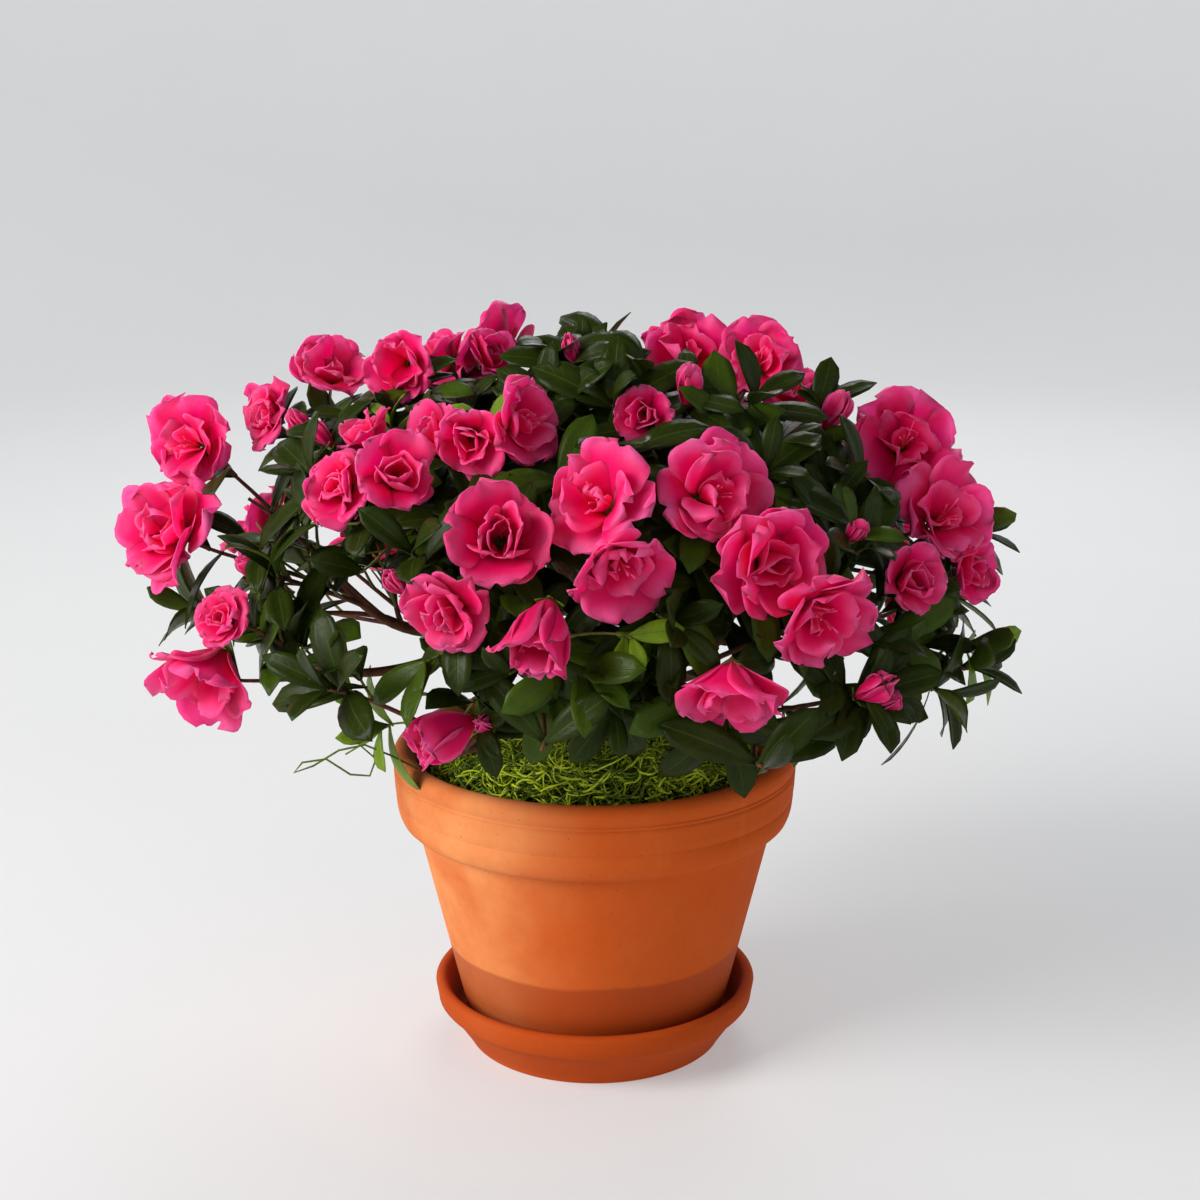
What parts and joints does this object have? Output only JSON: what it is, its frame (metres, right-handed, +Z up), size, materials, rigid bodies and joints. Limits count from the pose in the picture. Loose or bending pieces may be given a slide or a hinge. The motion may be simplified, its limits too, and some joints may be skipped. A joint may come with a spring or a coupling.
{
  "type": "azalea shrub",
  "caption": "Low round potted azalea in full bloom, with a forked woody stem, leafy flowering masses, a clay pot and a saucer.",
  "frame": {"origin": "centre of the saucer's flat underside, on the surface that it stands on", "axes": "+Z up along the pot's axis; -Y towards the front, +X to the right when seen from the front"},
  "size_m": [0.4409, 0.3816, 0.3709],
  "materials": {
    "pot": "matt unglazed clay, chalky on one side",
    "saucer": "matt unglazed clay, a little darker than the pot",
    "soil": "dark moist peat",
    "moss": "yellow-green curly moss strands",
    "bark": "thin brown bark, a little rough",
    "foliage": "dark green glossy leaves and vivid pink flowers"
  },
  "bodies": {
    "root": {"saucer": "saucer", "pot": "pot", "soil": "soil", "moss": "moss", "stem": "bark", "bough_top": "bark", "bough_left_tip": "bark", "bough_low_centre": "bark", "bough_front_right": "bark", "bough_right_shoulder": "bark", "bough_back_left": "bark", "bough_back_right": "bark", "bough_left_low": "bark", "bough_left_crown": "bark", "bough_left_top": "bark", "bough_left_face": "bark", "bough_face_top": "bark", "bough_pot_edge": "bark", "bough_front": "bark", "bough_right_low": "bark", "bough_right_face": "bark", "bough_right_tip": "bark", "bough_top_right": "bark", "bough_back_top": "bark", "bough_back_low_left": "bark", "bough_back_low": "bark", "bough_back_low_right": "bark", "foliage_top": "foliage", "foliage_left_tip": "foliage", "foliage_low_centre": "foliage", "foliage_front_right": "foliage", "foliage_right_shoulder": "foliage", "foliage_back_left": "foliage", "foliage_back_right": "foliage", "foliage_left_low": "foliage", "foliage_left_crown": "foliage", "foliage_left_top": "foliage", "foliage_left_face": "foliage", "foliage_face_top": "foliage", "foliage_pot_edge": "foliage", "foliage_front": "foliage", "foliage_right_low": "foliage", "foliage_right_face": "foliage", "foliage_right_tip": "foliage", "foliage_top_right": "foliage", "foliage_back_top": "foliage", "foliage_back_low_left": "foliage", "foliage_back_low": "foliage", "foliage_back_low_right": "foliage"}
  },
  "joints": []
}
